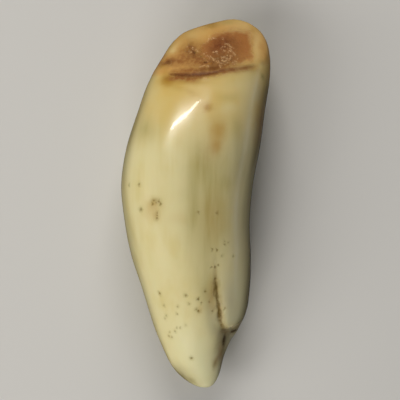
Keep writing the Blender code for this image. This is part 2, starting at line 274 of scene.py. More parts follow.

# Patches of the core strewn with single beads painted pale as glints: x, y, half width, half length and how
# many.
BEAD_PATCHES = (
    (8.4, 38.6, 3, 1.5, 26), (4.2, 39.6, 2.4, 1.6, 12), (8.6, 42, 1.6, 1.4, 8), (-1.4, 41.6, 1.2, 1.4, 5),
)
BEAD_SEED = 4
BEAD_RADIUS = 0.18 * MM
BEAD_STRENGTHS = (0.4, 0.9)

# Small open pits on the upper side: x, y, radius, how dark.
PITS = np.array([
    (-18.2, 4.9, 0.25, 0.6), (-15.3, 5.2, 0.25, 0.8), (-11.3, 0.9, 0.32, 0.9), (-10, 0.5, 0.3, 0.8),
    (-11.6, -0.1, 0.25, 0.85), (-9.5, -0.1, 0.25, 0.85), (-10.7, 0.2, 0.22, 0.6), (-14.8, -1.6, 0.35, 0.8),
    (-10.4, -2.6, 0.2, 0.7), (-10.4, -3.2, 0.22, 0.8), (-10.5, -3.9, 0.25, 0.9), (0.7, -2.3, 0.3, 0.7),
    (5.8, -2.6, 0.28, 0.7), (7.9, -10.2, 0.22, 0.6), (7.9, -11, 0.25, 0.7), (8.7, -10.5, 0.2, 0.5),
    (4.5, -12.3, 0.25, 0.8), (5.8, -12.6, 0.3, 0.8), (6.9, -14.1, 0.25, 0.5), (10.1, -14.2, 0.25, 0.5),
    (4.3, -17.1, 0.25, 0.7), (5.2, -17.1, 0.3, 0.9), (6.1, -16.6, 0.25, 0.7), (5.3, -20.2, 0.3, 1),
    (-9.8, -24.2, 0.24, 0.9), (-2.7, -24.7, 0.23, 0.9), (2.6, -23.7, 0.3, 0.9), (0.7, -25.8, 0.32, 1),
    (1.5, -26.7, 0.3, 0.6), (3.7, -26.5, 0.3, 0.6), (-1.8, -27.1, 0.25, 0.5), (-8.8, -27.6, 0.22, 0.5),
    (-5, -27.9, 0.22, 0.6), (7.9, -28.2, 0.25, 0.6), (0.2, -28.6, 0.3, 0.6), (0.7, -29, 0.28, 1),
    (4.6, -29, 0.25, 0.7), (-5, -29.8, 0.22, 0.6), (-8.1, -30.3, 0.28, 0.5), (-8.5, -31.1, 0.24, 0.5),
    (-2.7, -32.7, 0.25, 0.3), (-5.2, -33.6, 0.2, 0.5), (-4.3, -33.6, 0.2, 0.5), (-5.6, -34.4, 0.22, 0.8),
    (-7, -34.7, 0.2, 0.5), (-7.3, -35.8, 0.2, 0.6), (-6.6, -36.1, 0.25, 0.6), (-1.2, -41.7, 0.3, 1),
    (1.5, 39.6, 0.25, 0.9), (-0.2, 40.7, 0.25, 0.8), (2.6, 38, 0.25, 0.7), (4, 38.1, 0.2, 0.6),
])

# The olive ring round a pit, as shares of its darkness and radius, and the pits of the hidden sides.
RING_STRENGTH, RING_RADIUS = 0.5, 2.4
HIDDEN_SEED = 20
HIDDEN_PITS = 60
HIDDEN_RADII = (0.2, 0.34)
HIDDEN_DARKNESS = (0.4, 0.9)

# Soft stains, and painted light and shade as noted at each colour: x, y, half width, half length, strength,
# and a turn in degrees for some.
STAINS = {
    "rust": [
        (3.1, 26, 1.2, 1.3, 0.95), (5.8, 19.8, 2.4, 3.6, 0.68), (6.4, 20.6, 1.6, 1.4, 0.3),
        (5.3, 16, 1.6, 2.4, 0.6), (-5, 31.2, 3.6, 0.9, 0.3, -18), (-1, 29.6, 1.6, 0.7, 0.25, -20),
        (-2, 42.5, 3.6, 3, 0.2), (-3, 45.2, 2.4, 1.6, 0.3, 30), (-7.5, 33.2, 1.5, 1.7, 0.85, -20),
        (-8.3, 35.6, 1, 1.5, 0.3), (-8.6, 37.6, 1.8, 0.8, 0.7, 20), (-2, 32.6, 5, 0.8, 0.5),
        (5, 34.2, 4, 0.8, 0.2, 8), (19.6, 35.6, 0.7, 3.4, 0.9), (18.9, 39.5, 0.5, 1.4, 0.6),
        (15.6, 36.1, 1.9, 1.2, 0.5), (3.9, 47.9, 1.9, 1, 0.7), (15.6, 46.8, 1.4, 1.6, 0.45, 30),
        (-11, -0.4, 1.8, 1.7, 0.4), (-12.3, -1.9, 2, 2.4, 0.3), (-10.6, -3.4, 0.8, 1.4, 0.35),
        (5.3, -43, 0.5, 1.4, 0.5, -20), (0.9, -28.6, 1.2, 1.4, 0.35), (4.8, -24, 1, 4.6, 0.3),
        (6.3, -28.5, 0.8, 2.4, 0.3), (4.6, -4, 3.4, 7, 0.22), (-4.5, -4, 3.5, 1.8, 0.15, -5),
    ],
    # Green brown stains, with painted shade at the tip's lower left and in the valley beside the groove, and
    # partly on the shaded middle right.
    "olive": [
        (-10.8, 0.3, 1.4, 1, 0.6, 10), (-10.5, -2.8, 0.6, 1.6, 0.35), (-1.6, -47.4, 2.8, 1, 0.6, -25),
        (8, 48.7, 3.8, 0.9, 0.5, 5), (9.4, 28.9, 2.6, 1.2, 0.4), (11, 20.3, 1.3, 2.9, 0.3),
        (18, 38.5, 0.9, 1, 0.35), (14.7, 36.9, 0.8, 0.5, 0.7), (17.9, 34.3, 0.4, 0.9, 0.9, 20),
        (-13.4, 20, 3, 3.4, 0.55), (-17.2, 18, 0.8, 3.4, 0.3, -10), (1.8, 9.5, 3.6, 6.6, 0.65),
        (0.6, -3, 2.6, 6, 0.35), (2.4, -13, 3.2, 13, 0.35), (5.6, 9, 4.6, 6.5, 0.35),
        (3.6, -2, 2.8, 9, 0.5), (-1.5, -1, 2.4, 11.5, 0.45), (0.6, -8, 3, 9, 0.25), (6.4, -2, 4, 9, 0.3),
        (8, 5.6, 2, 2, 0.3), (3.6, -24, 2.4, 4.5, 0.3), (11.8, 37.6, 2.6, 0.9, 0.25),
        (-16.5, -10, 1, 6, 0.25, 14), (-1, 46.5, 4, 1, 0.25, 20), (-7.6, 41.4, 1, 3, 0.5, -30),
        (11.6, -32.2, 1, 0.9, 0.5),
    ],
    # Greyer ivory, and a painted cool sheen down the right side and on the pale wedge under the ledge.
    "grey": [
        (14.5, 20, 2.2, 9, 0.5), (16.2, 30.6, 2, 4.2, 0.55, -8), (11.5, -6, 2.6, 16, 0.55),
        (8.9, -25.5, 2.8, 7.5, 0.65), (8.6, -31, 1.8, 2.4, 0.1), (9.6, -36.8, 1.2, 2.2, 0.95, 20),
        (6.6, -44, 1.4, 3.4, 0.5), (10.6, -37.6, 1, 1.6, 0.8, 20),
    ],
    # The paler, greener ivory of the tip, and painted light on the lobe and beside it, where its flanks turn
    # away from the lamps.
    "chalk": [
        (2.4, -44, 4, 5.4, 0.95), (2.6, -48.8, 3.6, 1.6, 0.6), (-2, -38, 5, 7, 0.65),
        (11.2, -26, 1.8, 7.5, 0.7), (7.4, -11, 1.8, 4, 0.35), (9.8, -31, 2.4, 2.6, 0.8),
        (4.4, -31.5, 1.6, 3, 0.5),
    ],
    # The brown along the sides: partly a stain, partly painted shade at the tip's lower left, by the lobe's
    # end and down the right side.
    "edge": [
        (-4.2, -47.4, 4.8, 2.5, 0.85, -36), (7.2, -39.4, 1.9, 3.8, 0.8), (8, -34.6, 1.2, 1, 0.15),
        (6.7, -38, 1.1, 4.6, 0.5), (17.4, 20, 1, 6, 0.4, -6), (11.8, 12, 3.2, 8, 0.35),
        (15, -4, 0.9, 16, 0.3),
    ],
    # Pale patches, and painted light: a highlight on the worn face's left rim, a glint under the crack, and a
    # lift on the right by the worn face.
    "pale": [
        (8.6, 25.2, 3.4, 1.7, 0.3), (8, 31, 4.4, 1.4, 0.3), (11, 30, 2.6, 3, 0.4),
        (13.6, 30, 2.2, 4.6, 0.3), (12.6, 45.8, 4.2, 3, 0.45), (16.4, 42, 1.2, 4, 0.45),
        (-1.6, 45, 3, 1.4, 0.35, 10), (-6.1, 41, 1, 0.7, 0.6, 40), (-5.8, 42.2, 1.8, 0.8, 0.35, 40),
        (2.6, 33.2, 1.2, 0.5, 0.3),
    ],
    # Brown round the core and over the crack, with painted shade under the ledge, beside the groove, right of
    # the tip and partly down the right side.
    "umber": [
        (-1.8, 40.4, 2.4, 2.6, 0.85), (-3.2, 39.8, 1.8, 1.5, 0.45), (1.2, 39, 3, 2.6, 0.85),
        (4.8, 38.4, 4, 2.2, 0.9), (8, 37.6, 3.4, 1.6, 0.85), (2.6, 42.2, 1.8, 1.8, 0.6),
        (-4.8, 38.2, 3.2, 1.4, 0.85), (-8, 38.4, 1.6, 1, 0.4, 20), (0, 37.6, 3.4, 1, 0.5),
        (15, 42.4, 1.2, 4, 0.45), (17.4, 21.5, 1.3, 5, 0.35, -6), (4, 14, 3.4, 4, 0.16),
        (18.2, 41.6, 1.1, 4, 0.3, 10), (11, 46.6, 4, 0.9, 0.3), (7.6, -34.6, 1.4, 1.3, 0.2),
        (6.6, -40.4, 0.8, 2.4, 0.3), (4.2, -26.5, 1.2, 4.4, 0.2),
    ],
    # Duller brown of the lower core, with painted shade under the lobe's ledge.
    "dun": [
        (7, 38.8, 4.4, 2, 0.5), (9.4, 42.4, 2, 2, 0.2), (-1.2, 41, 1.8, 2.4, 0.2),
        (2.4, 36.2, 2.6, 0.8, 0.3), (-7.2, 38, 1.2, 0.8, 0.15, 20), (3.9, 47.9, 1.8, 1, 0.25),
        (7.7, -34.8, 1.4, 1.2, 0.35),
    ],
    "deep": [
        (7.2, 42.9, 2.9, 2.4, 0.9), (5, 41.6, 1.8, 1.7, 0.5), (-0.8, 40.9, 1.2, 2, 0.38),
        (-7.2, 38.2, 1.3, 0.9, 0.35, 20), (8.2, 39.2, 2.6, 1.6, 0.25), (11.6, 42.2, 2.2, 2.6, 0.25),
    ],
}

# The honey colour by the worn face: its fades, its share at the left and what the right adds, and its gaps,
# where the painted sheen and the pale patches on the right take its place.
HONEY_ALONG = (12 * MM, 30 * MM)
HONEY_ACROSS = (-15 * MM, -6 * MM)
HONEY_SHARES = (0.7, 0.3)
HONEY_GAPS = [(13.8, 30, 2.8, 5, 0.65), (11, 32, 2.2, 1.6, 0.4), (9.2, 25.6, 2.8, 1.7, 0.6)]

# The brown along the sides, partly a stain and partly painted shade where the sides turn from the light: its
# strength and where it starts, as a share of the half width, then where it stops or fades.
LEFT_STAIN_AND_SHADE = (0.35, 0.84)
RIGHT_STAIN_AND_SHADE = (0.75, 0.8)
LEDGE_GAP = (-37.5 * MM, 3.6 * MM)
WORN_END_GAP = 0.8
WORN_END_FADE = (-8 * MM, 2 * MM)
END_FADE = (0.5 * MM, ROUND_END)
LOW_FADE = (3 * MM, 11 * MM)

# The heights from which the stains show, and where the worn face's tan starts beyond its near edge.
TOP_FADE = (6 * MM, 11 * MM)
FACE_FADE = (-0.5 * MM, 1.5 * MM)

# How strongly the stains and the painted shade of the forms show, and how deep the crack's line is to the
# groove's.
TAN_SHARE, HONEY_SHARE = 0.85, 0.85
PIT_SHARE, GROOVE_SHARE = 0.95, 1.4
GROOVE_UMBER, GROOVE_OLIVE = 0.25, 0.6
CRACK_LINE_DEPTH = 0.24

# Noises of the colours: lump length across and along, a shift, the detail, and the values that are 0 and 1.
COLOUR_NOISES = {
    "streaks": (4, 45, 0, 4, 0.35, 0.65),
    "clouds": (11, 16, 4, 3, 0.35, 0.65),
    "specks": (1.1, 1.6, 9, 3, 0.35, 0.65),
    "grain": (0.45, 0.45, 2, 5, 0.35, 0.65),
    "beads": (0.3, 0.3, 6, 1, 0.42, 0.55),
}

# What covers the ivory, from the lowest layer up: the stain, the noise that thins it, and to what part.
COVERS = (
    ("chalk", "clouds", 0.8), ("honey", "clouds", 0.8), ("tan", "clouds", 0.85), ("grey", "clouds", 0.7),
    ("olive", "streaks", 0.7), ("pale", "clouds", 0.8), ("edge", "streaks", 0.8), ("rust", "clouds", 0.85),
    ("umber", "specks", 0.75), ("core", "clouds", 0.9), ("deep", "specks", 0.8), ("dun", "specks", 0.8),
    ("pit", "grain", 0.8), ("groove", "grain", 0.9), ("grime", "grain", 0.9), ("dirt", "grain", 0.8),
    ("mineral", "beads", 0.4),
)
MOST_COVER = 1.15
HIDDEN_OLIVE = 0.45

# The polish: what is the same all over, the roughness where clean and where dirty, and the grain.
POLISH = {
    "IOR": 1.54,
    "Subsurface Weight": 0.12,
    "Subsurface Radius": (1.0, 0.6, 0.3),
    "Subsurface Scale": 1.5 * MM,
    "Coat Weight": 0.3,
    "Coat Roughness": 0.07,
}
CLEAN_ROUGHNESS, DIRTY_ROUGHNESS = 0.26, 0.36
GRAIN_STRENGTH, GRAIN_HEIGHT = 0.35, 0.08 * MM

# A mix node's sockets for colours.
MIX_SHARE, MIX_BELOW, MIX_ABOVE, MIX_RESULT = 0, 6, 7, 2

# The lights: azimuth, elevation, distance, width and height, power, tint, and what they show in.
LIT_MIDDLE = Vector((0, 0, 14 * MM))
PANEL_LIGHTS = (
    ("key light", 250, 30, 0.75, (0.42, 0.42), 3.3, (1.0, 0.98, 0.94), "diffuse"),
    ("left light", 203, 32, 0.75, (0.42, 0.42), 2.1, (1.0, 0.98, 0.94), "diffuse"),
    ("crown light", 90, 35, 0.75, (0.42, 0.42), 3.9, (1.0, 0.97, 0.92), "diffuse"),
    ("sheen light", 2, 6, 0.60, (0.5, 0.10), 0.12, (0.94, 0.97, 1.0), "glossy"),
)

# The bright streak in the polish: its two ends, and the row of lights that patches of the skin mirror there.
# Each light is longer than its step by the overlap, and they narrow by the taper.
STREAK_ENDS = ((-6.6 * MM, 20.9 * MM), (1.2 * MM, 28.5 * MM))
STREAK_STEPS = 6
STREAK_OVERLAP = 1.1
STREAK_TAPER = 0.5
STREAK_PATCH = 0.9 * MM
STREAK_TINT = (1.0, 0.98, 0.92)

FLOOR_SIZE = 4.0
FLOOR_ROUGHNESS = 0.75
NEAREST_SEEN = 0.01

# The curve of screen colours: its straight part, and the shift and power of the rest.
STRAIGHT_END, SLOPE = 0.04045, 12.92
SHIFT, POWER = 0.055, 2.4


def seen(red, green, blue):
    """A colour as the eye reads it, 0 to 255, as the linear values that Blender works in."""
    shares = np.array([red, green, blue]) / 255
    bent = ((shares + SHIFT) / (1 + SHIFT)) ** POWER
    linear = np.where(shares <= STRAIGHT_END, shares / SLOPE, bent)
    return (*(float(value) for value in linear), 1.0)


def colour(name, description, default):
    return FloatVectorProperty(
        name=name, description=description, default=default, size=4, subtype="COLOR", min=0.0, max=1.0
    )


def length(name, description, default):
    return FloatProperty(name=name, description=description, default=default, unit="LENGTH", precision=5)


def factor(name, description, default):
    return FloatProperty(name=name, description=description, default=default, min=0.0)


class TuskRelief(PropertyGroup):
    """How fine the skin's mesh is, and how deep its relief."""

    segments: IntProperty(name="Segments", description="Divisions round the tusk", default=140)
    rings: IntProperty(name="Rings", description="Divisions along the tusk", default=190)
    worn_edge: length("Worn face edges", "Longest mesh edge on the worn face", 0.22 * MM)
    crease_edge: length("Crease edges", "Longest mesh edge along the groove", 0.24 * MM)
    pit_edge: length("Pit edges", "Longest mesh edge round a pit", 0.13 * MM)
    swell: length("Swell", "Height of the soft waves left by the polishing", 0.13 * MM)
    pit_depth: length("Pit depth", "Depth of the small open pits", 0.13 * MM)
    crease_depth: length("Crease depth", "Depth of the line at the groove's bottom", 0.15 * MM)
    bead_height: length("Bead height", "Height of the beads in the core", 0.045 * MM)
    # The beads and worms are raised; their pale colour is a painted glint.
    stroke_height: length("Stroke height", "Height of the pale mineral in the core", 0.07 * MM)


class TuskColours(PropertyGroup):
    """The colours of the ivory and its stains."""

    ivory: colour("Ivory", "The clean polished ivory", seen(218, 207, 156))
    cream: colour("Cream", "The yellower streaks in the ivory", seen(211, 196, 137))
    honey: colour("Honey", "The yellower ivory near the worn face", seen(212, 181, 102))
    tan: colour("Tan", "The tan of the worn face", seen(212, 164, 92))
    rust: colour("Rust", "Orange brown stains", seen(176, 134, 50))
    # Also painted shade at the tip's lower left, beside the groove and on the middle right.
    olive: colour("Olive", "Green brown stains", seen(160, 148, 88))
    # Also a painted cool sheen down the right side and on the wedge under the ledge.
    grey: colour("Grey", "The greyer ivory at the right", seen(184, 176, 146))
    # Also painted highlights and painted light by the worn face.
    pale: colour("Pale", "The palest patches", seen(224, 202, 140))
    # Also painted shade under the ledge, beside the groove and right of the tip.
    umber: colour("Umber", "The brown round the core and in the crack", seen(156, 102, 52))
    core: colour("Core", "The brown of the core", seen(172, 114, 58))
    deep: colour("Deep core", "The darkest red brown of the core", seen(124, 68, 32))
    # Also painted shade under the lobe's ledge.
    dun: colour("Dun", "The duller brown of the lower core", seen(112, 84, 44))
    dirt: colour("Dirt", "The dirt in the crack of the worn face", seen(108, 60, 16))
    pit: colour("Pit dirt", "The dirt in the small pits", seen(116, 96, 34))
    # Also the painted shadow along the crevice under the lobe's ledge.
    groove: colour("Groove dirt", "The dirt in the groove", seen(106, 86, 38))
    # Also the painted shadow at the end of the crevice under the lobe's ledge.
    grime: colour("Grime", "The dirt in the short cracks near the tip", seen(72, 52, 20))
    # Also painted light on the lobe, where its flanks turn away from the lamps.
    chalk: colour("Chalk", "The paler and greener ivory of the tip", seen(224, 220, 176))
    # Partly a stain, partly painted shade where the sides turn away from the lamps.
    edge: colour("Edge", "The brown along the sides", seen(104, 90, 52))
    # Painted glints on the raised beads and worms of the core.
    mineral: colour("Mineral", "The pale beads and worms in the core", seen(216, 174, 124))


class TuskStudio(PropertyGroup):
    """The camera, the lights and the floor."""

    camera_height: length("Camera height", "Height of the camera above the floor", CAMERA_HEIGHT)
    view_width: length("View width", "Width of the picture at the middle of the tusk", 107.8 * MM)
    view_x: length("View centre X", "Where the picture is centred, across the tusk", VIEW_X)
    view_y: length("View centre Y", "Where the picture is centred, along the tusk", VIEW_Y)
    floor: colour("Floor", "The pale floor", (0.6, 0.59, 0.57, 1.0))
    world: colour("Surroundings", "The dim light from all round", (0.9, 0.95, 1.0, 1.0))
    world_strength: factor("Surroundings strength", "How bright they are", 0.05)
    brightness: factor("Brightness", "Scales the power of every light", 1.0)
    streak_power: factor("Streak power", "Power of the mirrored lights, per square metre", 125.0)
    streak_distance: length("Streak distance", "How far away the mirrored lights are", 0.5)
    streak_width: length("Streak width", "Width of the mirrored lights at the wide end", 38 * MM)


def through(knots, values, at):
    """The smooth curve through the values at the knots, read at the places in at."""
    slopes = np.gradient(values, knots)
    at = np.clip(at, knots[0], knots[-1])
    left = np.clip(np.searchsorted(knots, at) - 1, 0, len(knots) - 2)
    span = knots[left + 1] - knots[left]
    t = (at - knots[left]) / span
    start = (1 + 2 * t) * (1 - t) ** 2 * values[left] + t * (1 - t) ** 2 * span * slopes[left]
    end = t**2 * (3 - 2 * t) * values[left + 1] - t**2 * (1 - t) * span * slopes[left + 1]
    return start + end


def ramp(low, high, value):
    """0 below low, 1 above high, and smooth between."""
    t = np.clip((value - low) / (high - low), 0, 1)
    return t * t * (3 - 2 * t)


def bump(distance, width):
    """1 where the distance is 0, and almost nothing at twice the width."""
    return np.exp(-((distance / width) ** 2))


def soft_min(a, b, blend):
    """The lower of a and b, with the corner where they cross rounded."""
    near = np.maximum(blend - np.abs(a - b), 0) / blend
    return np.minimum(a, b) - near * near * blend / 4


def middle_and_half(stations, tip, crown, y):
    """The middle between a table's two sides at y, and half their distance, which ends round."""
    along = np.r_[-HALF_LENGTH, stations[:, 0], HALF_LENGTH]
    low, high = stations[:, 1], stations[:, 2]
    middle = through(along, np.r_[tip, (low + high) / 2, crown], y)
    square = through(along, np.r_[0, ((high - low) / 2) ** 2, 0], y)
    return middle, np.sqrt(np.maximum(square, 0))


def section(y):
    """The section at y: its middle in x and z, its half width and half depth, and how square it is."""
    middle_x, half_width = middle_and_half(OUTLINE, TIP_X, CROWN_X, y)
    middle_z, half_depth = middle_and_half(PROFILE, TIP_Z, CROWN_Z, y)
    # A squarer section has no smooth pole, so both ends are elliptical.
    squareness = ramp(*FULLNESS_RISE, y) * ramp(0, ROUND_END, HALF_LENGTH - np.abs(y))
    fullness = TIP_FULLNESS + (CROWN_FULLNESS - TIP_FULLNESS) * squareness
    return middle_x, middle_z, half_width, half_depth, fullness


def upper_height(x, y):
    """The height of the upper side at x and y, before the worn end is cut."""
    middle_x, middle_z, half_width, half_depth, fullness = section(y)
    across = np.clip(np.abs(x - middle_x) / np.maximum(half_width, TINY), 0, 1)
    return middle_z + half_depth * (1 - across**fullness) ** (1 / fullness)


def near_edge(x):
    """The y of the worn face's near edge at x."""
    return through(NEAR_EDGE[:, 0], NEAR_EDGE[:, 1], x)


def smooth_path(points, count=PATH_POINTS):
    """The smooth curve through the rows of a table, as many closely spaced rows."""
    steps = np.arange(len(points), dtype=float)
    at = np.linspace(0, steps[-1], count)
    return np.stack([through(steps, column, at) for column in points.T], axis=1)


def nearest_on_path(path, x, y):
    """How far x and y lie from a path, positive on its left, and the path's other columns there."""
    place = np.stack([x, y], axis=1)
    nearest = np.full(len(place), np.inf)
    side = np.ones(len(place))
    columns = np.zeros((len(place), path.shape[1] - 2))
    for start, end in zip(path[:-1], path[1:]):
        step = end[:2] - start[:2]
        share = np.clip((place - start[:2]) @ step / (step @ step), 0, 1)
        offset = place - start[:2] - share[:, None] * step
        distance = np.hypot(offset[:, 0], offset[:, 1])
        closer = distance < nearest
        nearest[closer] = distance[closer]
        side[closer] = np.sign(step[0] * offset[closer, 1] - step[1] * offset[closer, 0])
        columns[closer] = start[2:] + share[closer, None] * (end[2:] - start[2:])
    return nearest * side, columns


def worn_face(x, y):
    """The height of the worn face at x and y, and how far y lies beyond its near edge."""
    edge_y = near_edge(x)
    middle = np.full_like(x, FACE_MIDDLE_X)
    middle_height = upper_height(middle, near_edge(middle))
    drop = soft_min(middle_height - upper_height(x, edge_y), FACE_SIDE_DROP, FACE_SIDE_BLEND)
    beyond = y - edge_y
    return middle_height - drop - FACE_SLOPE * beyond, beyond


def cut_worn_end(x, y, z):
    """The height after the worn face is cut, and how deep its crack, hollow core and notch are."""
    face, beyond = worn_face(x, y)
    at_sides = ramp(*RIM_SIDES, np.abs(x - FACE_MIDDLE_X))
    blend = NEAR_EDGE_BLEND + (SIDE_BLEND - NEAR_EDGE_BLEND) * at_sides
    blend += (FAR_RIM_BLEND - blend) * ramp(0, RIM_DEPTH, beyond)
    cut = soft_min(z, face, blend)
    on_face = ramp(-CORE_FADE, CORE_FADE, z - face)

    crack_depth = through(NEAR_EDGE[:, 0], NEAR_EDGE[:, 2], x)
    crack_width = through(NEAR_EDGE[:, 0], NEAR_EDGE[:, 3], x)
    crack = np.maximum(crack_depth, 0) * bump(beyond, crack_width)

    from_core = np.hypot((x - CORE_X) / CORE_HALF_WIDTH, (y - CORE_Y) / CORE_HALF_LENGTH)
    core = CORE_DEPTH * (1 - ramp(*CORE_SIDES, from_core)) * on_face

    notch_y = through(NOTCH[:, 0], NOTCH[:, 1], x)
    along_notch = ramp(NOTCH[0, 0], NOTCH[1, 0], x) * (1 - ramp(NOTCH[1, 0], NOTCH[3, 0], x))
    notch = NOTCH_DEPTH * along_notch * bump(y - notch_y, NOTCH_WIDTH)
    return cut, crack + core + notch


def groove_and_ledge(x, y):
    """How deep the groove beside the lobe and the crevice under its ledge cut the upper side."""
    aside, columns = nearest_on_path(smooth_path(LOBE_EDGE), x, y)
    depth, body_width, lobe_width = columns.T
    return np.maximum(depth, 0) * bump(aside, np.where(aside < 0, body_width, lobe_width))


def underside_grooves(x, y, angle):
    """How deep the groove that bounds the lobe and the long furrow cut the underside."""
    along = ramp(*BACK_GROOVE_BOTTOM, y) * (1 - ramp(*BACK_GROOVE_TOP, y))
    groove = BACK_GROOVE_DEPTH * along * bump(x - BACK_GROOVE_X, BACK_GROOVE_WIDTH)
    along = ramp(*FURROW_BOTTOM, y) * (1 - ramp(*FURROW_TOP, y))
    return groove + FURROW_DEPTH * along * bump(angle - FURROW_ANGLE, FURROW_SPREAD)


def place_on_tusk(unit):
    """Moves points of the unit sphere to the skin: its Z becomes the tusk's length, and its -Y points up."""
    y = HALF_LENGTH * unit[:, 2]
    angle = np.arctan2(-unit[:, 1], unit[:, 0])
    middle_x, middle_z, half_width, half_depth, fullness = section(y)
    across, up = np.cos(angle), np.sin(angle)
    x = middle_x + half_width * np.sign(across) * np.abs(across) ** (2 / fullness)
    z = middle_z + half_depth * np.sign(up) * np.abs(up) ** (2 / fullness)

    outward = np.stack([across * half_depth, up * half_width], axis=1)
    outward /= np.maximum(np.linalg.norm(outward, axis=1, keepdims=True), TINY)
    depth = groove_and_ledge(x, y) * ramp(*ABOVE_CUTS, up)
    depth += underside_grooves(x, y, angle) * ramp(*BELOW_CUTS, -up)
    x = x - outward[:, 0] * depth
    z = z - outward[:, 1] * depth

    cut, sunk = cut_worn_end(x, y, z)
    z = cut - sunk * ramp(*FACE_CUTS, up)
    return np.stack([x, y, np.maximum(z, 0)], axis=1)


def lumps(points, name):
    """The smooth noise of that name, between plus and minus its strength."""
    strength, across, along, shift = NOISES[name]
    scaled = points / np.array((across * MM, along * MM, across * MM)) + shift
    return strength * np.array([noise.noise(Vector(point)) for point in scaled])


def coordinates(mesh):
    return np.array([vertex.co for vertex in mesh.verts])


def spread_of_view(z):
    """How much further from the picture's middle a place looks when it lies at the height z."""
    distance = CAMERA_HEIGHT - MIDDLE_HEIGHT
    return distance / (distance - (z - MIDDLE_HEIGHT))


def as_seen(points):
    """Where the camera sees each point, as x and y on the level of the tusk's middle."""
    x, y, z = points.T
    spread = spread_of_view(z)
    return VIEW_X + (x - VIEW_X) * spread, VIEW_Y + (y - VIEW_Y) * spread


def on_upper_side(x, y, placed):
    """The point of the upper side that the camera sees at x and y."""
    seen_x, seen_y = as_seen(placed)
    distance = np.where(placed[:, 2] < UPPER_SIDE_FROM, np.inf, np.hypot(seen_x - x, seen_y - y))
    z = placed[np.argmin(distance), 2]
    spread = spread_of_view(z)
    return VIEW_X + (x - VIEW_X) / spread, VIEW_Y + (y - VIEW_Y) / spread, z


def pit_places(placed):
    """The pits of the table, dropped on the upper side, and seeded ones on the hidden sides."""
    rows = [(*on_upper_side(x * MM, y * MM, placed), radius * MM, dark) for x, y, radius, dark in PITS]
    random = np.random.RandomState(HIDDEN_SEED)
    lower_points = placed[placed[:, 2] < UPPER_SIDE_FROM]
    for _ in range(HIDDEN_PITS):
        x, y, z = lower_points[random.randint(len(lower_points))]
        rows.append((x, y, z, random.uniform(*HIDDEN_RADII) * MM, random.uniform(*HIDDEN_DARKNESS)))
    return np.array(rows)


def wanted_edge(points, pits, relief):
    """The longest mesh edge allowed at each place."""
    x, y, z = points.T
    upper = z > UPPER_SIDE_FROM
    beyond = y - near_edge(x)
    aside, columns = nearest_on_path(smooth_path(LOBE_EDGE), x, y)
    in_groove = (columns[:, 0] > FINE_GROOVE_DEPTH) & (np.abs(aside) < FINE_GROOVE_SIDE)
    wanted = np.full(len(points), np.inf)
    wanted[upper & (beyond > -FINE_BEFORE_FACE)] = relief.worn_edge
    wanted[upper & in_groove] = relief.crease_edge
    for *centre, radius, _ in pits:
        wanted[np.linalg.norm(points - centre, axis=1) < FINE_ROUND_PIT * radius] = relief.pit_edge
    return wanted


def split_where_needed(mesh, pits, relief):
    """Splits the edges that would be too long once the sphere is drawn out into the tusk."""
    for _ in range(SPLIT_ROUNDS):
        bmesh.ops.triangulate(mesh, faces=mesh.faces)
        mesh.verts.index_update()
        placed = place_on_tusk(coordinates(mesh))
        edges = list(mesh.edges)
        ends = placed[np.array([[vertex.index for vertex in edge.verts] for edge in edges])]
        lengths = np.linalg.norm(ends[:, 0] - ends[:, 1], axis=1)
        too_long = lengths > wanted_edge(ends.mean(axis=1), pits, relief)
        chosen = [edge for edge, long in zip(edges, too_long) if long]
        bmesh.ops.subdivide_edges(mesh, edges=chosen, cuts=1)
        for vertex in mesh.verts:
            vertex.co.normalize()
    bmesh.ops.triangulate(mesh, faces=mesh.faces)


def stain(table, x, y):
    """The strength of a table of soft stains at x and y. Where two overlap they add up, short of 1."""
    clean = np.ones(len(x))
    for middle_x, middle_y, half_width, half_length, strength, *turn in table:
        aside, along = x - middle_x * MM, y - middle_y * MM
        angle = math.radians(sum(turn))
        cosine, sine = math.cos(angle), math.sin(angle)
        across = (aside * cosine + along * sine) / (half_width * MM)
        lengthwise = (along * cosine - aside * sine) / (half_length * MM)
        clean *= 1 - strength * np.exp(-(across**2) - lengthwise**2)
    return 1 - clean


def lines(tables, x, y):
    """The strength of drawn lines at x and y."""
    total = np.zeros(len(x))
    for table in tables:
        path = smooth_path(np.array(table) * (MM, MM, MM, 1))
        aside, columns = nearest_on_path(path, x, y)
        total = np.maximum(total, columns[:, 1] * bump(aside, np.maximum(columns[:, 0], THINNEST_LINE)))
    return total


def core_share(points, x, y):
    """1 in the brown core, 0 outside it, with a soft ragged edge."""
    inside = -nearest_on_path(smooth_path(CORE_EDGE, CORE_PATH_POINTS), x, y)[0]
    ragged = inside + lumps(points, "core edge") + lumps(points, "fine core edge")
    return ramp(-CORE_EDGE_FADE, CORE_EDGE_FADE, ragged)


def stroke_share(points, x, y):
    """1 on the beads and worms of the core, which are painted pale as glints, 0 elsewhere."""
    nearest = np.full(len(points), np.inf)
    for stroke in STROKES:
        distance, _ = nearest_on_path(np.array(stroke) * MM, x, y)
        nearest = np.minimum(nearest, np.abs(distance))
    share = bump(nearest, STROKE_WIDTH) * ramp(*STROKE_GRAINS, lumps(points, "stroke grains"))
    random = np.random.RandomState(BEAD_SEED)
    weakest, strongest = BEAD_STRENGTHS
    for bead_x, bead_y, half_width, half_length, count in BEAD_PATCHES:
        draws = random.uniform((0, 0, weakest), (math.tau, 1, strongest), (count, 3))
        for turn, reach, strength in draws:
            out = math.sqrt(reach)
            place_x = (bead_x + half_width * out * math.cos(turn)) * MM
            place_y = (bead_y + half_length * out * math.sin(turn)) * MM
            share = np.maximum(share, strength * bump(np.hypot(x - place_x, y - place_y), BEAD_RADIUS))
    return share


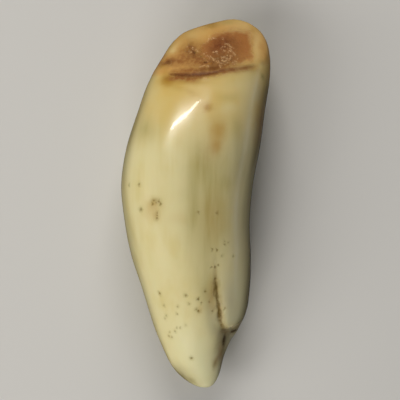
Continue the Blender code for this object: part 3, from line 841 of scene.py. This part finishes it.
def crease_shares(points):
    """The dark line at the bottom of the groove, painted shadow along the crevice, and the soft painted shade
    beside it.
    """
    table = np.column_stack([LOBE_EDGE[:, :2], CREASE_DIRT_AND_SHADE])
    aside, columns = nearest_on_path(smooth_path(table), points[:, 0], points[:, 1])
    aside = aside - columns[:, 1]
    patchy = GROOVE_DIRT_LEVEL + lumps(points, "groove dirt")
    uneven = 1 + lumps(points, "groove width")
    strength = np.clip(columns[:, 0], 0, 1) * np.clip(patchy, 0, 1)
    sharp = strength * bump(aside, GROOVE_LINE_WIDTH * uneven)
    soft = strength * bump(aside, np.where(aside < 0, *GROOVE_SHADE_WIDTHS) * uneven)
    return sharp, soft


def pit_shares(points, pits):
    """How dark each point is made by the pits, and by the rings round them."""
    pit = np.zeros(len(points))
    ring = np.zeros(len(points))
    uneven = 1 + lumps(points, "pit edge")
    for *centre, radius, dark in pits:
        distance = np.linalg.norm(points - centre, axis=1) * uneven
        pit = np.maximum(pit, dark * bump(distance, radius))
        ring = np.maximum(ring, RING_STRENGTH * dark * bump(distance, RING_RADIUS * radius))
    return pit, ring


def side_stain_and_shade(points, beyond):
    """The strength of the brown along the sides, partly a stain and partly painted shade, beyond the worn
    face's near edge or before it.
    """
    x, y, z = points.T
    middle_x, _, half_width, _, _ = section(y)
    across = (x - middle_x) / np.maximum(half_width, TINY)
    (left, left_from), (right, right_from) = LEFT_STAIN_AND_SHADE, RIGHT_STAIN_AND_SHADE
    ledge_y, ledge_length = LEDGE_GAP
    strength = left * ramp(left_from, 1.0, -across)
    strength += right * ramp(right_from, 1.0, across) * (1 - bump(y - ledge_y, ledge_length))
    strength *= 1 - WORN_END_GAP * ramp(*WORN_END_FADE, beyond)
    strength *= ramp(*END_FADE, HALF_LENGTH - np.abs(y))
    return strength * ramp(*LOW_FADE, z)


def add_object(name, data):
    made = bpy.data.objects.new(name, data)
    bpy.context.scene.collection.objects.link(made)
    return made


def make_skin(relief):
    """The fine skin as an object: its mesh, its relief and its stains."""
    skin = bmesh.new()
    bmesh.ops.create_uvsphere(skin, u_segments=relief.segments, v_segments=relief.rings, radius=1)
    placed = place_on_tusk(coordinates(skin))
    pits = pit_places(placed)
    split_where_needed(skin, pits, relief)
    placed = place_on_tusk(coordinates(skin))
    for vertex, place in zip(skin.verts, placed):
        vertex.co = place
    mesh = bpy.data.meshes.new("tusk_ivory")
    skin.normal_update()
    normals = np.array([vertex.normal for vertex in skin.verts])
    skin.to_mesh(mesh)
    skin.free()

    shares, depth = relief_and_stains(placed, pits, relief)
    moved = placed - normals * depth[:, None]
    moved[:, 1] = np.clip(moved[:, 1], -HALF_LENGTH, HALF_LENGTH)
    moved[:, 2] = np.maximum(moved[:, 2], 0)
    mesh.vertices.foreach_set("co", moved.astype(np.float32).ravel())
    for name, share in shares.items():
        attribute = mesh.attributes.new(name, "FLOAT", "POINT")
        attribute.data.foreach_set("value", np.clip(share, 0, 1).astype(np.float32))
    mesh.shade_smooth()
    mesh.update()
    return add_object("tusk_ivory", mesh)


def relief_and_stains(points, pits, relief):
    """The share of each stain at each point, and the depth of the fine relief."""
    on_top = ramp(*TOP_FADE, points[:, 2])
    x, y = as_seen(points)
    beyond = points[:, 1] - near_edge(points[:, 0])
    on_face = ramp(*FACE_FADE, beyond) * on_top

    warped_x = x + lumps(points, "stain x") + lumps(points, "stain edge x")
    warped_y = y + lumps(points, "stain y") + lumps(points, "stain edge y")
    shares = {name: stain(table, warped_x, warped_y) * on_top for name, table in STAINS.items()}

    frayed_x = x + lumps(points, "line edge x")
    frayed_y = y + lumps(points, "line edge y")
    drawn = (DIRT_LINES, UMBER_LINES, GRIME_AND_SHADOW_LINES)
    dirt, umber, grime = (lines(tables, frayed_x, frayed_y) * on_top for tables in drawn)

    core = core_share(points, x, y) * on_top
    stroke = stroke_share(points, x, y) * on_top
    groove, groove_shade = (share * on_top for share in crease_shares(points))
    pit, ring = pit_shares(points, pits)

    spongy = np.clip(core + shares["umber"], 0, 1) * on_face
    depth = relief.swell * (lumps(points, "broad swell") + lumps(points, "fine swell")) * (1 - on_face)
    depth += relief.pit_depth * pit
    depth += relief.crease_depth * (groove + CRACK_LINE_DEPTH * dirt)
    depth += relief.bead_height * (lumps(points, "beads") + lumps(points, "fine beads")) * spongy
    depth -= relief.stroke_height * stroke

    at_left, more = HONEY_SHARES
    shares["tan"] = TAN_SHARE * on_face
    shares["honey"] = HONEY_SHARE * ramp(*HONEY_ALONG, y) * on_top
    shares["honey"] *= at_left + more * ramp(*HONEY_ACROSS, x)
    shares["honey"] *= 1 - stain(HONEY_GAPS, warped_x, warped_y)
    shares["edge"] = np.maximum(shares["edge"], side_stain_and_shade(points, beyond))
    # The painted shade beside the groove is laid in umber and olive.
    shares["umber"] = np.maximum.reduce([shares["umber"], umber, GROOVE_UMBER * groove_shade])
    shares["olive"] = np.maximum.reduce([shares["olive"], ring, GROOVE_OLIVE * groove_shade])
    shares |= {"core": core, "pit": PIT_SHARE * pit, "groove": GROOVE_SHARE * groove, "grime": grime}
    shares |= {"dirt": dirt, "mineral": stroke, "hidden": 1 - on_top}
    return shares, depth


def add_node(tree, kind, inputs=(), **settings):
    """A shader node with its settings, and with inputs that are values or other nodes' sockets."""
    node = tree.nodes.new(kind)
    for name, value in settings.items():
        setattr(node, name, value)
    for key, value in dict(inputs).items():
        if isinstance(value, bpy.types.NodeSocket):
            tree.links.new(value, node.inputs[key])
        else:
            node.inputs[key].default_value = value
    return node


def share_of(tree, name):
    return add_node(tree, "ShaderNodeAttribute", attribute_name=name).outputs["Fac"]


def math_of(tree, operation, first, second):
    return add_node(tree, "ShaderNodeMath", {0: first, 1: second}, operation=operation).outputs[0]


def mix_colours(tree, share, below, above):
    """The colour below, covered by the colour above as far as the share says."""
    inputs = {MIX_SHARE: share, MIX_BELOW: below, MIX_ABOVE: above}
    return add_node(tree, "ShaderNodeMix", inputs, data_type="RGBA").outputs[MIX_RESULT]


def noise_of(tree, across, along, shift, detail, low, high):
    """A noise of the table of colour noises, from 0 to 1."""
    scale = tuple(1 / (size * MM) for size in (across, along, across))
    place = add_node(tree, "ShaderNodeTexCoord").outputs["Object"]
    inputs = {"Vector": place, "Location": (shift,) * 3, "Scale": scale}
    place = add_node(tree, "ShaderNodeMapping", inputs).outputs["Vector"]
    field = add_node(tree, "ShaderNodeTexNoise", {"Vector": place, "Scale": 1.0, "Detail": detail})
    spread = {"Value": field.outputs["Fac"], "From Min": low, "From Max": high}
    return add_node(tree, "ShaderNodeMapRange", spread, interpolation_type="SMOOTHSTEP").outputs["Result"]


def ranged(tree, share, low, high):
    """A value that runs from low to high as the share runs from 0 to 1."""
    inputs = {"Value": share, "To Min": low, "To Max": high}
    return add_node(tree, "ShaderNodeMapRange", inputs).outputs["Result"]


def new_material(name):
    material = bpy.data.materials.new(name)
    material.use_nodes = True
    return material, material.node_tree.nodes["Principled BSDF"]


def set_inputs(node, values):
    for name, value in values.items():
        node.inputs[name].default_value = value


def ivory_material(colours):
    """Polished ivory: cream with faint streaks along it, stains, a brown core and dirt in its hollows."""
    material, shader = new_material("polished ivory")
    set_inputs(shader, POLISH)
    tree = material.node_tree
    fields = {name: noise_of(tree, *row) for name, row in COLOUR_NOISES.items()}
    faint = math_of(tree, "MULTIPLY", fields["streaks"], fields["clouds"])
    skin = mix_colours(tree, faint, tuple(colours.ivory), tuple(colours.cream))
    hidden = math_of(tree, "MULTIPLY", share_of(tree, "hidden"), fields["clouds"])
    skin = mix_colours(tree, math_of(tree, "MULTIPLY", hidden, HIDDEN_OLIVE), skin, tuple(colours.olive))
    for name, field, least in COVERS:
        kept = ranged(tree, fields[field], least, MOST_COVER)
        share = math_of(tree, "MULTIPLY", share_of(tree, name), kept)
        skin = mix_colours(tree, share, skin, tuple(getattr(colours, name)))
    tree.links.new(skin, shader.inputs["Base Color"])

    dirty = math_of(tree, "MAXIMUM", share_of(tree, "core"), share_of(tree, "dirt"))
    dirty = math_of(tree, "MAXIMUM", dirty, share_of(tree, "groove"))
    tree.links.new(ranged(tree, dirty, CLEAN_ROUGHNESS, DIRTY_ROUGHNESS), shader.inputs["Roughness"])

    relief = math_of(tree, "MULTIPLY", fields["grain"], share_of(tree, "core"))
    bumps = {"Height": relief, "Strength": GRAIN_STRENGTH, "Distance": GRAIN_HEIGHT}
    tree.links.new(add_node(tree, "ShaderNodeBump", bumps).outputs["Normal"], shader.inputs["Normal"])
    return material


class TUSK_OT_ivory(Operator):
    """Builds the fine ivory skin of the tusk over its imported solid."""

    bl_idname = "tusk.ivory"
    bl_label = "Ivory"

    def execute(self, context):
        piece = make_skin(context.scene.tusk_relief)
        piece.data.materials.append(ivory_material(context.scene.tusk_colours))
        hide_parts("tusk")
        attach(piece, "root")
        return {"FINISHED"}


def add_panel_light(name, place, target, size, power, tint, shows_in):
    """A soft light that shows in gloss or in diffuse light alone, and not to the camera."""
    lamp = bpy.data.lights.new(name, "AREA")
    lamp.shape = "RECTANGLE"
    lamp.size, lamp.size_y = size
    lamp.energy = power
    lamp.color = tint
    light = add_object(name, lamp)
    light.location = place
    light.rotation_mode = "QUATERNION"
    light.rotation_quaternion = (target - place).to_track_quat("-Z", "Y")
    light.visible_camera = False
    light.visible_glossy = shows_in == "glossy"
    light.visible_diffuse = shows_in == "diffuse"
    return light


def add_streak_lights(studio, piece):
    """A bent row of thin lights, each placed so that the polish mirrors it in its stretch of the streak."""
    placed = np.array([vertex.co for vertex in piece.data.vertices])
    shares = np.linspace(0, 1, STREAK_STEPS + 1)
    start, end = np.array(STREAK_ENDS)
    spots, mirrored = [], []
    for share in shares:
        spot = Vector(on_upper_side(*(start + share * (end - start)), placed))
        near = np.nonzero(np.linalg.norm(placed - spot, axis=1) < STREAK_PATCH)[0]
        normals = [piece.data.vertices[number].normal for number in near]
        normal = Vector(np.mean(normals, axis=0)).normalized()
        spots.append(spot)
        mirrored.append(spot + studio.streak_distance * (2 * normal.z * normal - Vector((0, 0, 1))))
    for step in range(STREAK_STEPS):
        here, there = mirrored[step], mirrored[step + 1]
        middle = (here + there) / 2
        target = (spots[step] + spots[step + 1]) / 2
        width = studio.streak_width * (1 - STREAK_TAPER * (shares[step] + shares[step + 1]) / 2)
        size = (STREAK_OVERLAP * (there - here).length, width)
        power = studio.brightness * studio.streak_power * size[0] * size[1]
        name = f"streak light {step + 1}"
        light = add_panel_light(name, middle, target, size, power, STREAK_TINT, "glossy")
        light.data.shape = "ELLIPSE" if step in (0, STREAK_STEPS - 1) else "RECTANGLE"
        along = (there - here).normalized()
        toward = (middle - target).normalized()
        across = toward.cross(along).normalized()
        light.rotation_quaternion = Matrix((along, across, along.cross(across))).transposed().to_quaternion()


class TUSK_OT_stage(Operator):
    """Lays the pale floor, and sets up the lights, the surroundings and the camera."""

    bl_idname = "tusk.stage"
    bl_label = "Stage"

    def execute(self, context):
        studio = context.scene.tusk_studio
        self.lay_floor(studio)
        self.light_it(context, studio)
        self.set_camera(context, studio)
        return {"FINISHED"}

    def lay_floor(self, studio):
        bpy.ops.mesh.primitive_plane_add(size=FLOOR_SIZE, location=(0, 0, 0))
        floor = bpy.context.object
        floor.name = "floor"
        floor.visible_glossy = False
        material, shader = new_material("pale floor")
        set_inputs(shader, {"Base Color": tuple(studio.floor), "Roughness": FLOOR_ROUGHNESS})
        floor.data.materials.append(material)

    def light_it(self, context, studio):
        world = bpy.data.worlds.new("surroundings")
        world.use_nodes = True
        light = {"Color": tuple(studio.world), "Strength": studio.world_strength}
        set_inputs(world.node_tree.nodes["Background"], light)
        context.scene.world = world
        for name, azimuth, elevation, distance, size, power, tint, shows_in in PANEL_LIGHTS:
            turn, rise = math.radians(azimuth), math.radians(elevation)
            level = math.cos(rise)
            way = Vector((level * math.cos(turn), level * math.sin(turn), math.sin(rise)))
            place = LIT_MIDDLE + distance * way
            power *= studio.brightness
            add_panel_light(name, place, LIT_MIDDLE, size, power, tint, shows_in)
        add_streak_lights(studio, bpy.data.objects["tusk_ivory"])

    def set_camera(self, context, studio):
        view = bpy.data.cameras.new("camera")
        distance = studio.camera_height - MIDDLE_HEIGHT
        view.lens = view.sensor_width * distance / studio.view_width
        view.clip_start = NEAREST_SEEN
        camera = add_object("camera", view)
        camera.location = (studio.view_x, studio.view_y, studio.camera_height)
        context.scene.camera = camera
        context.scene.view_settings.view_transform = "Standard"


class TUSK_PT_panel(Panel):
    """Lists the steps, the sizes and the colours of the tusk."""

    bl_label = "Walrus tusk"
    bl_idname = "TUSK_PT_panel"
    bl_space_type = "VIEW_3D"
    bl_region_type = "UI"
    bl_category = "Walrus tusk"

    def draw(self, context):
        for place, group in GROUPS.items():
            box = self.layout.box()
            for name in group.__annotations__:
                box.prop(getattr(context.scene, place), name)
        for operator in (TUSK_OT_ivory, TUSK_OT_stage):
            self.layout.operator(operator.bl_idname)


GROUPS = {"tusk_relief": TuskRelief, "tusk_colours": TuskColours, "tusk_studio": TuskStudio}
CLASSES = (*GROUPS.values(), TUSK_OT_ivory, TUSK_OT_stage, TUSK_PT_panel)


def register():
    for made in CLASSES:
        bpy.utils.register_class(made)
    for place, group in GROUPS.items():
        setattr(bpy.types.Scene, place, PointerProperty(type=group))


def unregister():
    for place in GROUPS:
        delattr(bpy.types.Scene, place)
    for made in reversed(CLASSES):
        bpy.utils.unregister_class(made)


def main():
    register()
    bpy.ops.tusk.ivory()
    bpy.ops.tusk.stage()


if __name__ == "__main__":
    main()
